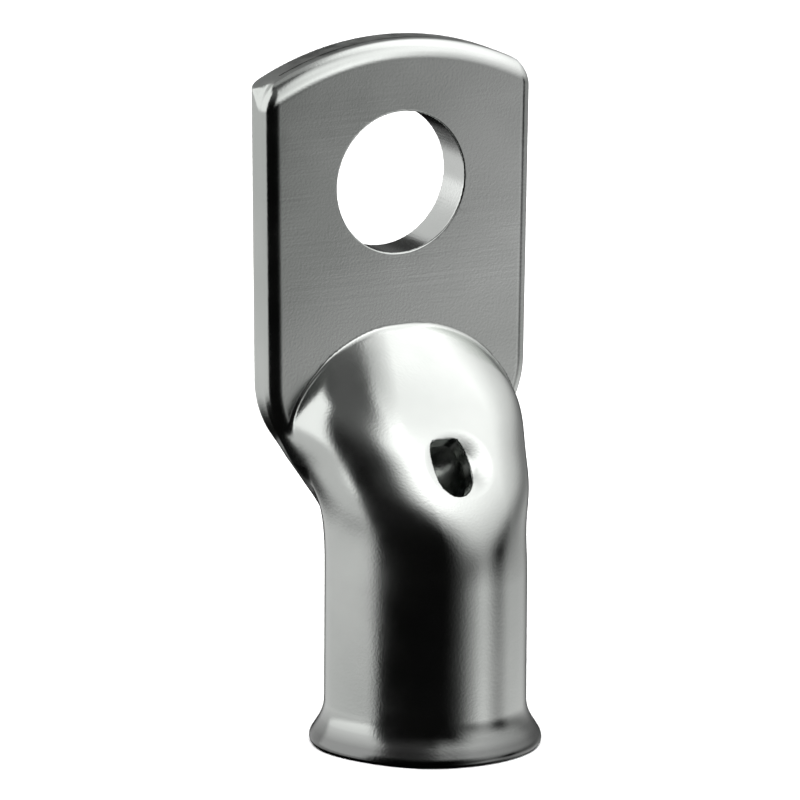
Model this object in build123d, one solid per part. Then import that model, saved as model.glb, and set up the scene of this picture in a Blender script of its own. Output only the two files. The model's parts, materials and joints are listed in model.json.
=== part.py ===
"""Tubular compression cable lug, formed from one piece of tinned copper tube.

Frame: millimetres, Z up. The barrel's axis is Z and the wire enters from below, so the
origin is on that axis at the end of the bell mouth, where the lug stands. The palm rises
behind the barrel, flush with the barrel's back, and its contact face looks along +Y.
"""
from build123d import *
from math import atan, cos, degrees, pi, radians, sin, sqrt, tan
import os

# Tube stock
barrel_od = 18.5
wall = 2.0

# Heights along the lug, from the end of the bell mouth
overall_height = 63.5
barrel_top = 18.0          # the round barrel ends and the forming begins
stud_height = 50.6
sight_height = 26.5
crease_height = 37.4       # top of the arched crease where the palm was pressed flat

# Palm
press_spread = 0.3         # each side of the palm's top spreads this far under the press
palm_taper = 0.45          # each side stands this much wider at the top than at the wings
fold_radius = 1.3          # outside rounding of the two folded edges
seam_gap = 0.14            # what is left between the two walls after pressing
top_arc_radius = 28.2
top_roll_over = 0.9        # the front of the sheared top edge is drawn round
stud_hole_diameter = 13.0
stud_edge_break = 0.2

# Wings, where the folds run down from the palm into the barrel
wing_corner_height = 30.2
wing_slope = 35.5          # degrees from vertical
wing_corner_radius = 9.0
wing_tip_height = 17.0

# Arched edge left by the press tool
arch_radius = 13.5
arch_draft = 16.0          # degrees
crease_radius = 0.3

# Bell mouth
mouth_od = 21.8            # of the flare, before its rim is rounded
mouth_angle = 29.0         # degrees from vertical
mouth_bend_radius = 2.1    # where the straight tube turns into the flare
lip_radius = 0.35          # rounding of the rim

# Inspection hole in the leaning front wall, with the shallow dish its punch pressed
sight_width = 4.4
sight_length = 5.8
dish_diameter = 7.2
dish_depth = 0.45

# What follows from the sizes above
barrel_radius = barrel_od / 2
bore_radius = barrel_radius - wall
palm_back = barrel_radius
palm_thickness = 2 * wall
palm_front = palm_back - palm_thickness
seam_plane = palm_back - wall
# Half of the tube's middle line, laid flat, gives the width of the pressed palm.
palm_half_width = (pi * (barrel_od - wall) - pi * wall) / 4 + wall + press_spread
# A cubic curve with handles of this share of its legs is a quarter circle.
ROUND = 4 / 3 * (sqrt(2) - 1)
PLENTY = 40.0              # reaches well past the lug, for cutting tools
press_match = 0.01         # an edge this near to the palm's front face lies on it


def bulge_stations():
    """Height, half width, widest line, front, back and the two bends of each cross-section.

    The round barrel swells sideways while its front leans back to the palm. The last
    section lies inside the palm's thickness, so the front meets the palm at the crease.
    """
    rise = crease_height - barrel_top
    depth = palm_front + barrel_radius
    # Share of the rise, swell of the half width, place of the widest line, share of the
    # depth that the front has leaned back, sinking of the back, and how far the outline
    # runs on along the side and along the nose before it turns.
    shape = [
        (0.13, 0.15, 0.0, 0.031, 0.02, 0.55, 0.58),
        (0.28, 0.75, 0.1, 0.141, 0.08, 0.54, 0.66),
        (0.43, 1.75, 1.6, 0.279, 0.18, 0.48, 0.72),
        (0.57, 2.55, 4.0, 0.424, 0.25, 0.40, 0.74),
        (0.70, 1.80, 5.3, 0.579, 0.30, 0.44, 0.75),
        (0.80, 0.60, 6.1, 0.700, 0.33, 0.52, 0.74),
        (0.94, 0.05, 7.0, 0.911, 0.34, 0.60, 0.70),
        (1.09, 0.05, 7.8, 1.131, 0.35, 0.60, 0.66),
    ]
    stations = []
    for share, swell, middle, lean, sink, side_bend, nose_bend in shape:
        stations.append((
            barrel_top + share * rise,
            barrel_radius + swell,
            middle,
            -barrel_radius + lean * depth,
            palm_back - sink * wall,
            side_bend,
            nose_bend,
        ))
    return stations


def oval(height, half_width, middle, front, back, side_bend, nose_bend):
    """Closed section of four cubic quarters, symmetric in X."""
    def quarter(side, end, along_side, along_end):
        return Bezier(
            (side * half_width, middle, height),
            (side * half_width, middle + along_side * (end - middle), height),
            (side * half_width * along_end, end, height),
            (0, end, height),
        )
    return Wire([
        quarter(1, back, ROUND, ROUND),
        quarter(-1, back, ROUND, ROUND),
        quarter(-1, front, side_bend, nose_bend),
        quarter(1, front, side_bend, nose_bend),
    ])


def round_section(height, radius):
    """The barrel's circle, split where the oval sections are split."""
    plane = Plane.XY.offset(height)
    return Wire([plane * CenterArc((0, 0), radius, start, 90) for start in (0, 90, 180, 270)])


def bulge(inset):
    """Solid of the bulge from the barrel's top up into the palm, drawn in by inset."""
    sections = [
        round_section(barrel_top - wall, barrel_radius - inset),
        round_section(barrel_top, barrel_radius - inset),
    ]
    last_height, last_front = barrel_top, -barrel_radius
    for height, half_width, middle, front, back, side_bend, nose_bend in bulge_stations():
        # The wall keeps its thickness square to the leaning front.
        slope = (front - last_front) / (height - last_height)
        last_height, last_front = height, front
        inner_front = front + inset * sqrt(1 + slope ** 2)
        if inner_front < seam_plane + wall / 2:
            sections.append(oval(
                height, half_width - inset, middle, inner_front, back - inset, side_bend, nose_bend,
            ))
    return Solid.make_loft(sections)


def press_waste(plane_y, radius):
    """What the press flattens: all in front of plane_y that its arched edge doesn't spare."""
    centre = crease_height - arch_radius
    depth = 2 * barrel_radius
    spared = Pos(0, centre) * Circle(radius)
    spared += Pos(0, centre - PLENTY / 2) * Rectangle(2 * radius, PLENTY)
    pocket = extrude(Plane.XZ.offset(-plane_y) * spared, amount=depth, taper=arch_draft)
    block = Pos(0, plane_y - depth / 2, centre + PLENTY / 2) * Box(PLENTY, depth, PLENTY)
    return block - pocket


def palm_outline():
    """Front view of the palm with its wings, which run down to a round tip at the back."""
    top = overall_height + PLENTY
    wing_half_width = palm_half_width - palm_taper
    slope = radians(wing_slope)
    point = wing_corner_height - wing_half_width / tan(slope)
    tip_radius = (wing_tip_height - point) / (1 / sin(slope) - 1)
    outline = Polygon(
        (palm_half_width, overall_height),
        (palm_half_width, top),
        (-palm_half_width, top),
        (-palm_half_width, overall_height),
        (-wing_half_width, wing_corner_height),
        (0, point),
        (wing_half_width, wing_corner_height),
        align=None,
    )
    wing_corners = outline.vertices().sort_by(Axis.Y)[1:3]
    outline = fillet(wing_corners, wing_corner_radius)
    return fillet(outline.vertices().sort_by(Axis.Y)[0], tip_radius)


def plate(outline, thickness):
    """The outline as a plate on the plane where the two walls meet."""
    return extrude(Plane.XZ.offset(-seam_plane) * outline, amount=thickness / 2, both=True)


def palm():
    """Both walls of the tube pressed together, round along the folds."""
    blank = plate(palm_outline(), palm_thickness)
    rims = blank.faces().filter_by(Axis.Y).edges()
    folds = rims.filter_by(lambda edge: edge.center().Z < overall_height + PLENTY / 2 + wall)
    return fillet(folds, fold_radius)


def top_waste():
    """What the shear takes off above the palm's arched top."""
    axis = Pos(0, seam_plane, overall_height - top_arc_radius) * Rot(90, 0, 0)
    block = Pos(0, seam_plane, overall_height + PLENTY / 2) * Box(PLENTY, PLENTY, 2 * PLENTY)
    return block - axis * Cylinder(top_arc_radius, PLENTY)


def barrel(radius):
    """Round barrel from the flared mouth up to where the forming begins, solid inside."""
    flare = (mouth_od - barrel_od) / 2
    mouth_height = flare / tan(radians(mouth_angle))
    top = barrel_top - wall
    half = make_face(Polyline(
        (0, 0), (radius + flare, 0), (radius, mouth_height), (radius, top), (0, top), (0, 0),
    ))
    bend = half.vertices().sort_by_distance((radius, mouth_height))[0]
    return revolve(Plane.XZ * fillet(bend, mouth_bend_radius), Axis.Z)


def cavity():
    """Everything inside the tube: bore, the room under the bulge and the pressed seam."""
    room = bulge(wall) - press_waste(seam_plane - seam_gap / 2, arch_radius - wall)
    seam = plate(offset(palm_outline(), -wall), seam_gap)
    return barrel(bore_radius) + room + seam


def front_wall(height):
    """Where the leaning front wall is at a height, and its angle from vertical in degrees."""
    below = [station for station in bulge_stations() if station[0] <= height][-1]
    above = [station for station in bulge_stations() if station[0] > height][0]
    slope = (above[3] - below[3]) / (above[0] - below[0])
    return below[3] + slope * (height - below[0]), degrees(atan(slope))


def sight_hole():
    """Inspection hole through the front wall, with its dish."""
    front, lean = front_wall(sight_height)
    outward = (0, -cos(radians(lean)), sin(radians(lean)))
    frame = Plane(origin=(0, front, sight_height), x_dir=(1, 0, 0), z_dir=outward)
    hole = extrude(frame * Ellipse(sight_width / 2, sight_length / 2), 2 * wall, both=True)
    dish_radius = dish_diameter ** 2 / (8 * dish_depth)
    return hole + frame.offset(dish_radius - dish_depth) * Sphere(dish_radius)


def stud_hole():
    """Cutter for the hole that takes the terminal stud, with its broken edges."""
    axis = Pos(0, seam_plane, stud_height) * Rot(90, 0, 0)
    radius = stud_hole_diameter / 2
    cutter = Cylinder(radius, palm_thickness)
    for side in (1, -1):
        end = side * (palm_thickness - stud_edge_break) / 2
        small, large = radius, radius + stud_edge_break
        bottom, top = (small, large) if side > 0 else (large, small)
        cutter += Pos(0, 0, end) * Cone(bottom, top, stud_edge_break)
    return axis * cutter


def lug():
    """The finished lug."""
    shell = barrel(barrel_radius)
    shell = fillet(shell.edges().group_by(Axis.Z)[0], lip_radius)
    shell += bulge(0) - press_waste(palm_front, arch_radius)
    shell += palm()
    arcs = shell.edges().filter_by(GeomType.CIRCLE).filter_by_position(
        Axis.Y, palm_front - press_match, palm_front + press_match,
    )
    shell = fillet(arcs.filter_by_position(Axis.Z, wing_corner_height, crease_height), crease_radius)
    shell -= top_waste()
    sheared = shell.edges().filter_by(GeomType.CIRCLE)
    sheared = sheared.filter_by(lambda edge: edge.center().Z > overall_height - palm_thickness)
    shell = fillet(sheared.sort_by(Axis.Y)[0], top_roll_over)
    return shell - cavity() - sight_hole() - stud_hole()


if __name__ == "__main__":
    os.makedirs("parts", exist_ok=True)
    export_step(lug(), "parts/lug_body.step")
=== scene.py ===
"""Looks of the compression lug: a smooth skin over the CAD frame, its finish and a photo studio.

The skin is the zero of a field that is negative inside the metal. Lengths are millimetres there
and in the sizes below, unless a name or comment says metres.
"""
import json
import math

import bpy
import numpy as np
from mathutils import Matrix, Vector

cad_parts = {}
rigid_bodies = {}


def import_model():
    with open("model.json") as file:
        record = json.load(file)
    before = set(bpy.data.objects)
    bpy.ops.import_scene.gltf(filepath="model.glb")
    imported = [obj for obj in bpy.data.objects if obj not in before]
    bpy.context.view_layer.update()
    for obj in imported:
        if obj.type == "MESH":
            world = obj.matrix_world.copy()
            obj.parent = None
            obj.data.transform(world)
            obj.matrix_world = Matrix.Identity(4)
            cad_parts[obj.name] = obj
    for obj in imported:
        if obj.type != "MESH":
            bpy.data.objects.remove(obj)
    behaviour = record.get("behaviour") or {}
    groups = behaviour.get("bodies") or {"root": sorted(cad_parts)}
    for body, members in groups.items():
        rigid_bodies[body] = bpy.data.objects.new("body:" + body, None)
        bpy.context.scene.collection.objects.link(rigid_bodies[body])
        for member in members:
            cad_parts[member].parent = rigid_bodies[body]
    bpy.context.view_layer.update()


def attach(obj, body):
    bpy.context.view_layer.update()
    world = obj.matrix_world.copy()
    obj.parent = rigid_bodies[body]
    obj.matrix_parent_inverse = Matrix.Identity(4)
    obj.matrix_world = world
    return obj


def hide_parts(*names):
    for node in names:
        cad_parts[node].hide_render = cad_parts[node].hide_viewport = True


MM = 0.001

# Tube
WALL = 2.0
BARREL = 9.25              # outside radius

# Palm
PALM_FRONT = 5.25          # y of its front face
SEAM = 7.25                # y of the plane where the two walls meet
SEAM_GAP = 0.16
SEAM_HALF_WIDTH = 11.4     # as seen on the sheared top
SEAM_LOW = 59.9            # the seam is cut open above this height
PALM_HALF_WIDTH = 13.7     # at the top
PALM_TAPER = 0.45          # how much narrower each side is at the wings
FOLD = 1.3                 # rounding of the folded edges
TOP = 63.5
TOP_ARC = 28.2             # radius of the sheared top
ROLL_OVER = 1.7            # the shear drew the front of the top edge round
SHARP_BACK = 0.15          # and left its back sharp
ROLL_START = 0.4           # the rounding fades from this far in front of the seam
ROLL_FADE = 1.5            # over this depth
STUD_Z = 50.6
STUD_R = 6.5
STUD_EDGE = 0.15

# Wings
WING_Z = 30.2              # where the palm's sides turn in
WING_SLOPE = math.radians(35.5)
WING_CORNER = 9.0
WING_TIP = 17.0
WING_FOOT = 29.6           # below this the wings are blended into the bulge
WING_BLEND = 2.2
FOOT_FADE = 4.0            # the blend grows over this height below the foot
TIP_FADE = 6.0             # and over this height above the tip

# Arched step left by the press tool
ARCH_R = 13.5
ARCH_Z = 37.4 - ARCH_R     # centre of the arch
ARCH_DRAFT = math.tan(math.radians(16.0))
ARCH_EDGE = 0.25
CREASE = 0.35              # rounding between the palm and the bulge

# Bell mouth
MOUTH = 11.0               # radius of the flare before its rim is rounded
MOUTH_Z = 3.9              # the flare begins
MOUTH_BEND = 2.2           # height over which it bends outward
LIP = 0.9                  # rounding of the mouth's rim

# Inspection hole and the dish that its punch pressed
SIGHT_Z = 26.5
SIGHT_X, SIGHT_UP = -0.2, 0.2
SIGHT_HALF_WIDTH, SIGHT_HALF_LENGTH = 2.0, 3.1
SIGHT_LEFT = 1.95          # the punch left the hole straight here
SIGHT_TOP = 2.8            # and here
SIGHT_CORNER = 0.3
SIGHT_EDGE = 0.12
SIGHT_REACH = 4.0          # the hole goes this deep
DISH_X, DISH_UP = 0.7, 0.2
DISH_WIDTH, DISH_DEPTH = 5.6, 0.7
DISH_EDGE = 0.5

# Inside
ROOM_CORNER = 0.5
INNER_EDGE = 0.2

# Sections of the barrel and the bulge: height, half width, widest line, front, back, squareness,
# and how far out the slanting flanks lie
SECTIONS = [
    (15.6, 9.25, 0.0, -9.25, 9.25, 2.00, 10.5),
    (20.5, 9.40, 0.0, -8.62, 9.21, 2.10, 10.0),
    (23.4, 10.10, -0.2, -7.20, 9.10, 2.40, 9.50),
    (26.3, 11.25, 2.3, -5.20, 8.90, 2.80, 8.65),
    (29.1, 12.20, 4.8, -3.10, 8.75, 3.00, 8.05),
    (31.7, 11.80, 5.5, -0.85, 8.65, 3.00, 6.75),
    (33.6, 10.80, 6.1, 1.05, 8.60, 2.80, 5.20),
    (36.2, 9.60, 7.0, 3.96, 8.57, 2.50, 3.00),
    (39.1, 9.30, 7.8, 7.15, 8.55, 2.30, 1.50),
]
FLANK = math.radians(60.0)  # the flanks face this far to each side
FLANK_ROUND = 3.5
FULLER = 1.0               # the right flank was pressed less and stands out by this much more

# Mesh
VOXEL = 0.17
FACES = 190000
MARGIN = 0.4               # clear space round the lug in the grid
STEP = 0.01                # for slopes of the field
LONGEST_MOVE = 0.1         # of a point in one round of settling
SLIT_DEPTH = 0.05          # a face this far inside the metal belongs to the seam's slit
LEAST_SLOPE = 0.05         # of the field, squared, in a step of settling
TINY = 1e-9
TABLE_ROWS = 800           # of a spline


def spline(heights, values):
    """Cubic spline through the points, level at the first, as a dense table for np.interp."""
    x, y = np.array(heights), np.array(values)
    n, h = len(x), np.diff(x)
    a, rhs = np.zeros((n, n)), np.zeros(n)
    a[0, 0] = 1.0
    a[-1, -1], a[-1, -2] = 2.0, 1.0
    rhs[-1] = 3 * (y[-1] - y[-2]) / h[-1]
    for i in range(1, n - 1):
        a[i, i - 1:i + 2] = 1 / h[i - 1], 2 / h[i - 1] + 2 / h[i], 1 / h[i]
        rhs[i] = 3 * ((y[i] - y[i - 1]) / h[i - 1] ** 2 + (y[i + 1] - y[i]) / h[i] ** 2)
    slope = np.linalg.solve(a, rhs)
    z = np.linspace(x[0], x[-1], TABLE_ROWS)
    i = np.clip(np.searchsorted(x, z) - 1, 0, n - 2)
    t = (z - x[i]) / h[i]
    return z, (
        y[i] * (1 + 2 * t) * (1 - t) ** 2 + slope[i] * h[i] * t * (1 - t) ** 2
        + y[i + 1] * t * t * (3 - 2 * t) + slope[i + 1] * h[i] * t * t * (t - 1)
    )


COLUMNS = [spline([s[0] for s in SECTIONS], [s[c] for s in SECTIONS]) for c in range(1, 7)]
FRONT = COLUMNS[2]
FRONT_SLOPE = np.gradient(FRONT[1], FRONT[0])


def flare(z):
    """How much wider than the barrel the bell mouth is at a height."""
    t = np.maximum(MOUTH_Z - z, 0)
    bend = np.where(t < MOUTH_BEND, t * t / (2 * MOUTH_BEND), t - MOUTH_BEND / 2)
    return (MOUTH - BARREL) * bend / (MOUTH_Z - MOUTH_BEND / 2)


def round_max(a, b, r):
    """Both, with the edge between them rounded."""
    return np.minimum(-r, np.maximum(a, b)) + np.hypot(np.maximum(a + r, 0), np.maximum(b + r, 0))


def round_min(a, b, r):
    """Either, with the corner between them filled."""
    return -round_max(-a, -b, r)


def section_field(x, y, z, inset):
    """Signed distance, roughly, to the barrel and bulge drawn in by inset."""
    half, middle, front, back, power, reach = (np.interp(z, *column) for column in COLUMNS)
    slope = np.interp(z, FRONT[0], FRONT_SLOPE)
    grow = flare(z) - inset
    front = front - flare(z) + inset * np.sqrt(1 + slope ** 2)
    back = back + grow if inset == 0 else np.minimum(back, BARREL) + grow
    half = half + grow
    middle = np.minimum(middle, (front + back) / 2) if inset else middle
    # The least values below keep the field finite near the axis, far from the surface.
    deep = np.maximum(np.where(y < middle, middle - front, back - middle), 0.3)
    ax, ay = np.abs(x) / half, np.abs(y - middle) / deep
    q = np.maximum((ax ** power + ay ** power) ** (1 / power), 1e-3)
    g = q ** (1 - power) * np.hypot(ax ** (power - 1) / half, ay ** (power - 1) / deep)
    oval = (q - 1) / np.maximum(g, 0.08)
    flank = np.abs(x) * math.sin(FLANK) - y * math.cos(FLANK) - reach - grow
    flank = flank - np.where(x > 0, FULLER, 0)
    return round_max(oval, flank, FLANK_ROUND)


def arch_field(x, y, z, radius):
    """Signed distance, roughly, to the pocket that the press tool spares."""
    return np.hypot(x, np.maximum(z - ARCH_Z, 0)) - radius + (PALM_FRONT - y) * ARCH_DRAFT


def outline_field(x, z):
    """Signed distance to the palm's front view, without its top."""
    wing = PALM_HALF_WIDTH - PALM_TAPER
    taper = math.atan(PALM_TAPER / (TOP - WING_Z))
    ct, st, cs, ss = math.cos(taper), math.sin(taper), math.cos(WING_SLOPE), math.sin(WING_SLOPE)
    ax = np.abs(x)
    side = (ax - wing) * ct - (z - WING_Z) * st
    slant = (ax - wing) * cs - (z - WING_Z) * ss
    # The corner is a circle that touches both lines.
    det = ct * ss - st * cs
    cx = wing + (-WING_CORNER * ss + WING_CORNER * st) / det
    cz = WING_Z + (-WING_CORNER * cs + WING_CORNER * ct) / det
    px, pz = ax - cx, z - cz
    corner = np.hypot(px, pz) - WING_CORNER
    at_corner = (px * st + pz * ct < 0) & (px * ss + pz * cs > 0)
    shape = np.where(at_corner, corner, np.maximum(side, slant))
    point = WING_Z - wing / math.tan(WING_SLOPE)
    tip = (WING_TIP - point) / (1 / ss - 1)
    tz = z - WING_TIP - tip
    at_tip = ax * ss + tz * cs < 0
    return np.where(at_tip, np.hypot(ax, tz) - tip, shape)


def palm_field(x, y, z):
    """Signed distance, roughly, to the pressed palm."""
    a = outline_field(x, z) + FOLD
    b = np.abs(y - SEAM) - (WALL - FOLD)
    plate = np.hypot(np.maximum(a, 0), np.maximum(b, 0)) + np.minimum(np.maximum(a, b), 0) - FOLD
    top = np.hypot(x, z - TOP + TOP_ARC) - TOP_ARC
    well_inside = -9.0
    top = np.where(z > TOP - TOP_ARC, top, well_inside)
    roll = np.clip((y - SEAM + ROLL_START) / ROLL_FADE, 0, 1)
    sharper = (ROLL_OVER - SHARP_BACK) * roll * roll * (3 - 2 * roll)
    return round_max(plate, top, ROLL_OVER - sharper)


def sight_field(x, y, z):
    """The inspection hole through the leaning wall, straight at its left and top, and its dish."""
    front = float(np.interp(SIGHT_Z, *FRONT))
    lean = math.atan(float(np.interp(SIGHT_Z, FRONT[0], FRONT_SLOPE)))
    c, s = math.cos(lean), math.sin(lean)
    along = -(y - front) * c + (z - SIGHT_Z) * s
    up = (y - front) * s + (z - SIGHT_Z) * c
    across, tall = (x - SIGHT_X) / SIGHT_HALF_WIDTH, (up - SIGHT_UP) / SIGHT_HALF_LENGTH
    q = np.sqrt(across ** 2 + tall ** 2)
    mean_half = 2.5
    hole = round_max((q - 1) * mean_half, -(x + SIGHT_LEFT), SIGHT_CORNER)
    hole = round_max(hole, up - SIGHT_TOP, SIGHT_CORNER)
    hole = np.maximum(hole, np.abs(along) - SIGHT_REACH)
    dish_r = DISH_WIDTH ** 2 / (8 * DISH_DEPTH)
    depth = along - dish_r + DISH_DEPTH
    return hole, np.sqrt((x - DISH_X) ** 2 + (up - DISH_UP) ** 2 + depth ** 2) - dish_r


def lug_field(x, y, z):
    """Negative inside the lug's metal."""
    body = round_max(section_field(x, y, z, 0), arch_field(x, y, z, ARCH_R), ARCH_EDGE)
    # The wings run smoothly into the bulge below the foot of the arch.
    smooth = np.clip((WING_FOOT - z) / FOOT_FADE, 0, 1) * np.clip((z - WING_TIP) / TIP_FADE, 0, 1)
    shell = round_min(body, palm_field(x, y, z), CREASE + (WING_BLEND - CREASE) * smooth)
    stud = STUD_R - np.hypot(x, z - STUD_Z)
    shell = round_max(shell, stud, STUD_EDGE)
    hole, dish = sight_field(x, y, z)
    shell = round_max(shell, -dish, DISH_EDGE)
    room = round_max(section_field(x, y, z, WALL), arch_field(x, y, z, ARCH_R - WALL), ROOM_CORNER)
    shell = round_max(shell, -room, INNER_EDGE)
    shell = round_max(shell, -hole, SIGHT_EDGE)
    return round_max(shell, -z, LIP)


def surface_net(step):
    """Quads round the zero of the field, one corner for each cell that it crosses."""
    low = np.array([-PALM_HALF_WIDTH, -MOUTH, 0.0]) - MARGIN
    high = np.array([PALM_HALF_WIDTH, MOUTH, TOP]) + MARGIN
    count = np.ceil((high - low) / step).astype(int)
    axes = [low[i] + step * np.arange(count[i] + 1) for i in range(3)]
    shapes = ((-1, 1, 1), (1, -1, 1), (1, 1, -1))
    x, y, z = (a.astype(np.float32).reshape(shape) for a, shape in zip(axes, shapes))
    value = lug_field(x, y, z).astype(np.float32)
    inside = value < 0
    total = np.zeros(tuple(count), np.int8)
    corners = [(i, j, k) for i in (0, 1) for j in (0, 1) for k in (0, 1)]
    for i, j, k in corners:
        total += inside[i:count[0] + i, j:count[1] + j, k:count[2] + k]
    cells = np.argwhere((total > 0) & (total < 8))
    name = -np.ones(tuple(count), np.int32)
    name[tuple(cells.T)] = np.arange(len(cells))
    at = {c: value[cells[:, 0] + c[0], cells[:, 1] + c[1], cells[:, 2] + c[2]] for c in corners}
    place, hits = np.zeros((len(cells), 3)), np.zeros(len(cells))
    for c in corners:
        for axis in range(3):
            if c[axis]:
                continue
            d = tuple(v + (i == axis) for i, v in enumerate(c))
            va, vb = at[c], at[d]
            cross = (va < 0) != (vb < 0)
            t = np.where(cross, va / np.where(cross, va - vb, 1), 0)
            point = np.array(c, float) + np.outer(t, np.eye(3)[axis])
            place[cross] += point[cross]
            hits += cross
    points = low + step * (cells + place / hits[:, None])
    quads = []
    for axis in range(3):
        u, v = (axis + 1) % 3, (axis + 2) % 3
        first = [slice(1, -1)] * 3
        second = [slice(1, -1)] * 3
        first[axis], second[axis] = slice(0, -1), slice(1, None)
        a, b = inside[tuple(first)], inside[tuple(second)]
        edge = np.argwhere(a != b)
        flip = b[tuple(edge.T)]
        edge[:, [u, v]] += 1
        ring = []
        for du, dv in ((-1, -1), (0, -1), (0, 0), (-1, 0)):
            cell = edge.copy()
            cell[:, u] += du
            cell[:, v] += dv
            ring.append(name[tuple(cell.T)])
        ring = np.stack(ring, 1)
        ring[flip] = ring[flip][:, ::-1]
        quads.append(ring)
    return points, np.concatenate(quads)


def gradient(points):
    """Slope of the field at each point, by central differences."""
    out = np.zeros_like(points)
    for i in range(3):
        step = np.eye(3)[i] * STEP
        out[:, i] = (lug_field(*(points + step).T) - lug_field(*(points - step).T)) / (2 * STEP)
    return out


def settle(points, rounds):
    """Points moved onto the zero of the field."""
    for _ in range(rounds):
        g = gradient(points)
        f = lug_field(*points.T)
        move = g * (f / np.maximum((g ** 2).sum(1), LEAST_SLOPE))[:, None]
        size = np.linalg.norm(move, axis=1)
        points = points - move * np.minimum(1, LONGEST_MOVE / np.maximum(size, TINY))[:, None]
    return points


def new_mesh(name, points, faces):
    """A mesh object in metres from millimetres."""
    mesh = bpy.data.meshes.new(name)
    mesh.from_pydata((points * MM).tolist(), [], faces.tolist())
    obj = bpy.data.objects.new(name, mesh)
    bpy.context.scene.collection.objects.link(obj)
    return obj


def points_of(mesh):
    """The mesh's corners in millimetres."""
    flat = np.zeros(len(mesh.vertices) * 3)
    mesh.vertices.foreach_get("co", flat)
    return flat.reshape(-1, 3) / MM


def apply_modifier(obj):
    """Bakes the object's only modifier into its mesh."""
    graph = bpy.context.evaluated_depsgraph_get()
    mesh = bpy.data.meshes.new_from_object(obj.evaluated_get(graph))
    obj.modifiers.clear()
    obj.data = mesh


def cut_seam(lug):
    """Opens the seam between the two pressed walls where the palm's top was sheared."""
    sides = (-SEAM_HALF_WIDTH, SEAM_HALF_WIDTH)
    walls = (SEAM - SEAM_GAP / 2, SEAM + SEAM_GAP / 2)
    corners = np.array([(x, y, z) for x in sides for y in walls for z in (SEAM_LOW, TOP + 1)])
    faces = np.array([
        (0, 1, 3, 2), (4, 6, 7, 5), (0, 4, 5, 1), (2, 3, 7, 6), (0, 2, 6, 4), (1, 5, 7, 3),
    ])
    blade = new_mesh("blade", corners, faces)
    cut = lug.modifiers.new("seam", "BOOLEAN")
    cut.operation = "DIFFERENCE"
    cut.solver = "EXACT"
    cut.object = blade
    apply_modifier(lug)
    bpy.data.objects.remove(blade)


def build_lug():
    """The lug's skin, with normals taken from the field so that reflections run clean."""
    points, quads = surface_net(VOXEL)
    lug = new_mesh("lug_skin", settle(points, rounds=3), quads)
    decimate = lug.modifiers.new("thin", "DECIMATE")
    decimate.ratio = min(1.0, FACES / (2 * len(quads)))
    apply_modifier(lug)
    points = settle(points_of(lug.data), rounds=2)
    lug.data.vertices.foreach_set("co", (points * MM).ravel())
    cut_seam(lug)
    mesh = lug.data
    mesh.update()
    points = points_of(mesh)
    normal = gradient(points)
    normal /= np.linalg.norm(normal, axis=1)[:, None]
    centre, flat = np.zeros(3 * len(mesh.polygons)), np.zeros(3 * len(mesh.polygons))
    mesh.polygons.foreach_get("center", centre)
    mesh.polygons.foreach_get("normal", flat)
    corner = np.zeros(len(mesh.loops), int)
    count = np.zeros(len(mesh.polygons), int)
    mesh.loops.foreach_get("vertex_index", corner)
    mesh.polygons.foreach_get("loop_total", count)
    in_slit = np.repeat(lug_field(*(centre.reshape(-1, 3) / MM).T) < -SLIT_DEPTH, count)
    face = np.repeat(flat.reshape(-1, 3), count, axis=0)
    split = np.where(in_slit[:, None], face, normal[corner])
    mesh.normals_split_custom_set(split.tolist())
    return lug


def new_material(name):
    """A new material and its tree, which holds a principled shader and an output."""
    material = bpy.data.materials.new(name)
    material.use_nodes = True
    return material, material.node_tree


# The finish. Colours are reflectances, and lengths are in metres.
CLEAN_TIN, STAINED_TIN = (0.78, 0.80, 0.775), (0.70, 0.725, 0.70)
# The palm's colour runs from painted shade to painted light, standing in for how light falls across
# it
PALM_PAINTED_LIGHT, PALM_PAINTED_SHADE = (0.86, 0.88, 0.86), (0.62, 0.645, 0.62)
# Painted shade: the bell mouth is darker, and its rim darker still
MOUTH_PAINTED_SHADE, RIM_PAINTED_SHADE = (0.46, 0.475, 0.46), (0.24, 0.245, 0.24)
SHEARED_COPPER = (0.30, 0.31, 0.30)
PALM_BEGINS = (0.036, 0.041)            # heights over which each look comes or goes
MOUTH_ENDS = (0.0022, 0.0036)
RIM_ENDS = (0.0012, 0.0024)
SHEAR_BEGINS = (0.09, 0.04)             # millimetres short of the top's arc
PAINTED_LIGHT_WAY = (1, 0, -0.35)               # painted light: the palm is brighter towards its lower right
PAINTED_LIGHT_SPAN = (-0.034, -0.004)
# Patterns of noise: scale and detail, the span that counts, and what its two ends stand for
PATTERNS = {
    "stains": (90, 5, 0.35, 0.65, 0.0, 1.0),
    "uneven shine": (110, 5, 0.35, 0.65, -0.14, 0.14),
    "torn roughness": (900, 3, 0.3, 0.7, 0.1, 0.35),
    "roughness": (170, 4, 0.35, 0.7, 0.14, 0.24),
    "brushed patches": (80, 2, 0.40, 0.62, 0.15, 1.0),
}
PATTERN_TILT = math.radians(-7)
GRAIN = (4200, 2)
STROKES = (300, 4, (0.25, 1, 12))       # drawn out along the palm's width
GRAIN_STRENGTH, STROKE_STRENGTH = 0.13, 0.16
BUMP_HEIGHT = 0.00005


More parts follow.
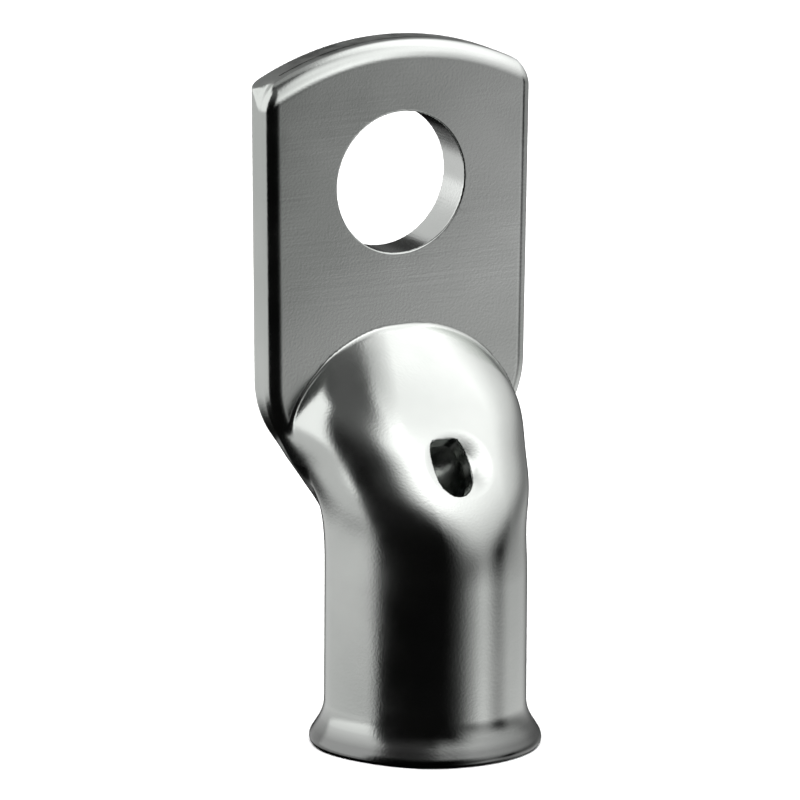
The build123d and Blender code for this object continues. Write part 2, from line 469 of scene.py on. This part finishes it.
def tinned_copper():
    """Bright tin plating with faint stains, a grain, and fine brushing along the palm's width, with
    painted light and shade graded across the palm and painted shade on the bell mouth and its rim.
    """
    material, tree = new_material("tinned_copper")
    nodes, link = tree.nodes, tree.links.new
    shader = nodes["Principled BSDF"]
    shader.inputs["Metallic"].default_value = 1.0
    where = nodes.new("ShaderNodeTexCoord")

    def noise(scale, detail, stretch=(1, 1, 1)):
        squeeze = nodes.new("ShaderNodeMapping")
        squeeze.inputs["Scale"].default_value = stretch
        squeeze.inputs["Rotation"].default_value = (0, PATTERN_TILT, 0)
        link(where.outputs["Object"], squeeze.inputs["Vector"])
        node = nodes.new("ShaderNodeTexNoise")
        node.inputs["Scale"].default_value = scale
        node.inputs["Detail"].default_value = detail
        link(squeeze.outputs["Vector"], node.inputs["Vector"])
        return node.outputs["Fac"]

    def remap(value, low, high, start, end):
        node = nodes.new("ShaderNodeMapRange")
        node.inputs["From Min"].default_value = low
        node.inputs["From Max"].default_value = high
        node.inputs["To Min"].default_value = start
        node.inputs["To Max"].default_value = end
        link(value, node.inputs["Value"])
        return node.outputs["Result"]

    def pattern(name):
        scale, detail, *span = PATTERNS[name]
        return remap(noise(scale, detail), *span)

    def combine(operation, a, b):
        node = nodes.new("ShaderNodeMath")
        node.operation = operation
        link(a, node.inputs[0])
        link(b, node.inputs[1])
        return node.outputs["Value"]

    place = nodes.new("ShaderNodeSeparateXYZ")
    link(where.outputs["Object"], place.inputs["Vector"])
    on_palm = remap(place.outputs["Z"], *PALM_BEGINS, 0.0, 1.0)
    at_mouth = remap(place.outputs["Z"], *MOUTH_ENDS, 1.0, 0.0)
    at_rim = remap(place.outputs["Z"], *RIM_ENDS, 1.0, 0.0)

    # The sheared top is the arc's far side.
    arc = nodes.new("ShaderNodeVectorMath")
    arc.operation = "MULTIPLY_ADD"
    arc.inputs[1].default_value = (1, 0, 1)
    arc.inputs[2].default_value = (0, 0, (TOP_ARC - TOP) * MM)
    link(where.outputs["Object"], arc.inputs[0])
    reach = nodes.new("ShaderNodeVectorMath")
    reach.operation = "LENGTH"
    link(arc.outputs["Vector"], reach.inputs[0])
    begins = ((TOP_ARC - short) * MM for short in SHEAR_BEGINS)
    beyond = remap(reach.outputs["Value"], *begins, 0.0, 1.0)
    sheared = combine("MULTIPLY", beyond, on_palm)

    def blend(factor, low, high):
        node = nodes.new("ShaderNodeMix")
        node.data_type = "RGBA"
        link(factor, node.inputs["Factor"])
        for socket, colour in (("A", low), ("B", high)):
            if isinstance(colour, tuple):
                node.inputs[socket].default_value = (*colour, 1)
            else:
                link(colour, node.inputs[socket])
        return node.outputs["Result"]

    stained = blend(pattern("stains"), STAINED_TIN, CLEAN_TIN)
    # Painted light and shade: the palm's colour grades brighter towards its lower right, with a
    # random uneven tone added
    across = nodes.new("ShaderNodeVectorMath")
    across.operation = "DOT_PRODUCT"
    across.inputs[1].default_value = PAINTED_LIGHT_WAY
    link(where.outputs["Object"], across.inputs[0])
    painted_light_grade = remap(across.outputs["Value"], *PAINTED_LIGHT_SPAN, 0.0, 1.0)
    shine = combine("ADD", painted_light_grade, pattern("uneven shine"))
    pressed = blend(shine, PALM_PAINTED_SHADE, PALM_PAINTED_LIGHT)
    stained_tin_and_painted_palm_light = blend(on_palm, stained, pressed)
    # Painted shade on the flare of the bell mouth, and more on its rim
    with_painted_mouth_shade = blend(at_mouth, stained_tin_and_painted_palm_light, MOUTH_PAINTED_SHADE)
    with_painted_rim_shade = blend(at_rim, with_painted_mouth_shade, RIM_PAINTED_SHADE)
    link(blend(sheared, with_painted_rim_shade, SHEARED_COPPER), shader.inputs["Base Color"])
    torn = combine("MULTIPLY", sheared, pattern("torn roughness"))
    link(combine("ADD", pattern("roughness"), torn), shader.inputs["Roughness"])
    grain = nodes.new("ShaderNodeBump")
    grain.inputs["Strength"].default_value = GRAIN_STRENGTH
    grain.inputs["Distance"].default_value = BUMP_HEIGHT
    link(noise(*GRAIN), grain.inputs["Height"])
    brushing = nodes.new("ShaderNodeBump")
    brushing.inputs["Strength"].default_value = STROKE_STRENGTH
    brushing.inputs["Distance"].default_value = BUMP_HEIGHT
    patches = pattern("brushed patches")
    strokes = combine("MULTIPLY", noise(*STROKES), on_palm)
    link(combine("MULTIPLY", strokes, patches), brushing.inputs["Height"])
    link(grain.outputs["Normal"], brushing.inputs["Normal"])
    link(brushing.outputs["Normal"], shader.inputs["Normal"])
    return material


# What the metal mirrors, in degrees: azimuth, half width, elevation, half height and softness of
# the edges, and then the brightness
LIGHTS = [
    (-121, 30, 24, 26, 5, 0.55),    # card at the left
    (-140, 49, 14, 38, 5, 0.60),    # wide screen at the left
    (72, 84, 62, 22, 22, 1.05),     # key, at the upper right
    (80, 62, 28, 22, 18, 0.75),     # screen at the right
    (76, 54, -28, 16, 16, 0.63),    # table in front and at the right
    (70, 58, -26, 18, 20, 0.06),    # its dim edge
    (14, 10, -14, 20, 10, 0.03),    # faint light short of that edge
    (37, 7, -14, 20, 6, 0.12),      # brighter strip along the table
    (59, 9, -14, 24, 9, -0.25),     # gap between two sheets on it
    (-50, 60, 64, 26, 20, 0.10),    # dim ceiling at the left
    (150, 80, 70, 20, 14, 0.35),    # ceiling behind
]
NEAR_LIGHTS = [
    (-4, 34, 48, 10, 13, 0.95),     # small card close to the shoulder
]
DOME, DOME_Z = 320.0, 30.0          # radius and height of the centre
NEAR_DOME, NEAR_DOME_Z = 70.0, 27.0
DOME_STEP = 2.0                     # degrees between its points
DOME_REACH = 88.0                   # degrees up and down, short of the poles


def window(distance, half, soft):
    """One inside a light's reach, nothing outside it, with a soft edge."""
    t = np.clip((half + soft - np.abs(distance)) / (2 * soft), 0, 1)
    return t * t * (3 - 2 * t)


def build_dome(name, lights, radius, height):
    """A globe round the lug that glows inside as a studio's screens do; only the metal sees it."""
    around = np.arange(-180, 180, DOME_STEP)
    upward = np.linspace(-DOME_REACH, DOME_REACH, round(2 * DOME_REACH / DOME_STEP) + 1)
    azimuth, elevation = np.meshgrid(around, upward)
    glow = np.zeros(azimuth.shape)
    for turn, half_width, rise, half_height, soft, level in lights:
        away = (azimuth - turn + 180) % 360 - 180
        glow += level * window(away, half_width, soft) * window(elevation - rise, half_height, soft)
    a, e = np.radians(azimuth), np.radians(elevation)
    points = np.stack([np.sin(a) * np.cos(e), -np.cos(a) * np.cos(e), np.sin(e)], -1).reshape(-1, 3)
    rows, columns = azimuth.shape
    i = np.arange((rows - 1) * columns).reshape(rows - 1, columns)
    right = np.roll(i, -1, 1)
    faces = np.stack([i, right, right + columns, i + columns], -1).reshape(-1, 4)
    dome = new_mesh(name, points * radius + [0, 0, height], faces)
    layer = dome.data.attributes.new("glow", "FLOAT", "POINT")
    layer.data.foreach_set("value", glow.ravel())
    material, tree = new_material(name)
    tree.nodes.remove(tree.nodes["Principled BSDF"])
    level = tree.nodes.new("ShaderNodeAttribute")
    level.attribute_name = "glow"
    shade = tree.nodes.new("ShaderNodeEmission")
    clear = tree.nodes.new("ShaderNodeBsdfTransparent")
    both = tree.nodes.new("ShaderNodeAddShader")
    out = tree.nodes["Material Output"]
    tree.links.new(level.outputs["Fac"], shade.inputs["Strength"])
    tree.links.new(shade.outputs["Emission"], both.inputs[0])
    tree.links.new(clear.outputs["BSDF"], both.inputs[1])
    tree.links.new(both.outputs["Shader"], out.inputs["Surface"])
    dome.data.materials.append(material)
    dome.visible_camera = False
    dome.visible_diffuse = False
    dome.visible_shadow = False


SOFTBOX_SIZE, SOFTBOX_HEIGHT = 0.9, 0.6     # metres
SOFTBOX_WATTS = 12
FLOOR_HALF = 3                              # metres
FLOOR_COLOUR = (0.9, 0.9, 0.9, 1)


def build_softbox():
    """A large lamp overhead for the white floor and its shadow; the metal doesn't mirror it."""
    data = bpy.data.lights.new("softbox", "AREA")
    data.size = SOFTBOX_SIZE
    data.energy = SOFTBOX_WATTS
    lamp = bpy.data.objects.new("softbox", data)
    lamp.location = (0, 0, SOFTBOX_HEIGHT)
    lamp.visible_glossy = False
    bpy.context.scene.collection.objects.link(lamp)


def build_floor():
    """A pale floor, which the metal doesn't mirror."""
    mesh = bpy.data.meshes.new("floor")
    f = FLOOR_HALF
    corners = [(-f, -f, 0), (f, -f, 0), (f, f, 0), (-f, f, 0)]
    mesh.from_pydata(corners, [], [(0, 1, 2, 3)])
    floor = bpy.data.objects.new("floor", mesh)
    bpy.context.scene.collection.objects.link(floor)
    material, tree = new_material("floor")
    shader = tree.nodes["Principled BSDF"]
    shader.inputs["Roughness"].default_value = 1.0
    shader.inputs["Specular IOR Level"].default_value = 0.0
    shader.inputs["Base Color"].default_value = FLOOR_COLOUR
    floor.visible_glossy = False
    mesh.materials.append(material)


DARKNESS = 0.003                            # of the world where the metal mirrors it


def build_world():
    """White behind the lug, nearly dark in its reflections."""
    world = bpy.data.worlds.new("studio")
    bpy.context.scene.world = world
    world.use_nodes = True
    tree = world.node_tree
    back = tree.nodes["Background"]
    path = tree.nodes.new("ShaderNodeLightPath")
    shade = tree.nodes.new("ShaderNodeMapRange")
    shade.inputs["To Min"].default_value = DARKNESS
    shade.inputs["To Max"].default_value = 1.0
    tree.links.new(path.outputs["Is Camera Ray"], shade.inputs["Value"])
    tree.links.new(shade.outputs["Result"], back.inputs["Strength"])
    back.inputs["Color"].default_value = (1, 1, 1, 1)


CAMERA_ANGLES = (28.66, 13.5, 0.32)         # degrees to the lug's left, up, and of roll
CAMERA_AIM = (-2.34, 30.70)                 # what is in the middle, to the right and up
CAMERA_LENS = 496.4                         # millimetres, a metre away
CAMERA_CLIP = (0.05, 20)                    # metres


def build_camera():
    """The photograph's camera, fitted to the lug's silhouette and the stud hole."""
    a, e, roll = (math.radians(angle) for angle in CAMERA_ANGLES)
    look = Vector((math.sin(a) * math.cos(e), math.cos(a) * math.cos(e), -math.sin(e)))
    right = Vector((math.cos(a), -math.sin(a), 0))
    up = right.cross(look)
    c, s = math.cos(roll), math.sin(roll)
    right, up = right * c + up * s, up * c - right * s
    centre = (right * CAMERA_AIM[0] + up * CAMERA_AIM[1]) * MM
    data = bpy.data.cameras.new("camera")
    data.sensor_width = 36
    data.lens = CAMERA_LENS
    data.clip_start, data.clip_end = CAMERA_CLIP
    camera = bpy.data.objects.new("camera", data)
    bpy.context.scene.collection.objects.link(camera)
    turn = Matrix((right, up, -look)).transposed().to_4x4()
    camera.matrix_world = Matrix.Translation(centre - look) @ turn
    bpy.context.scene.camera = camera


for thing in list(bpy.data.objects):
    bpy.data.objects.remove(thing)
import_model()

skin = build_lug()
skin.data.materials.append(tinned_copper())
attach(skin, "root")
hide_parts("lug_body")

build_floor()
build_world()
build_dome("studio_dome", LIGHTS, DOME, DOME_Z)
build_dome("near_dome", NEAR_LIGHTS, NEAR_DOME, NEAR_DOME_Z)
build_softbox()
build_camera()
bpy.context.scene.view_settings.view_transform = "Standard"
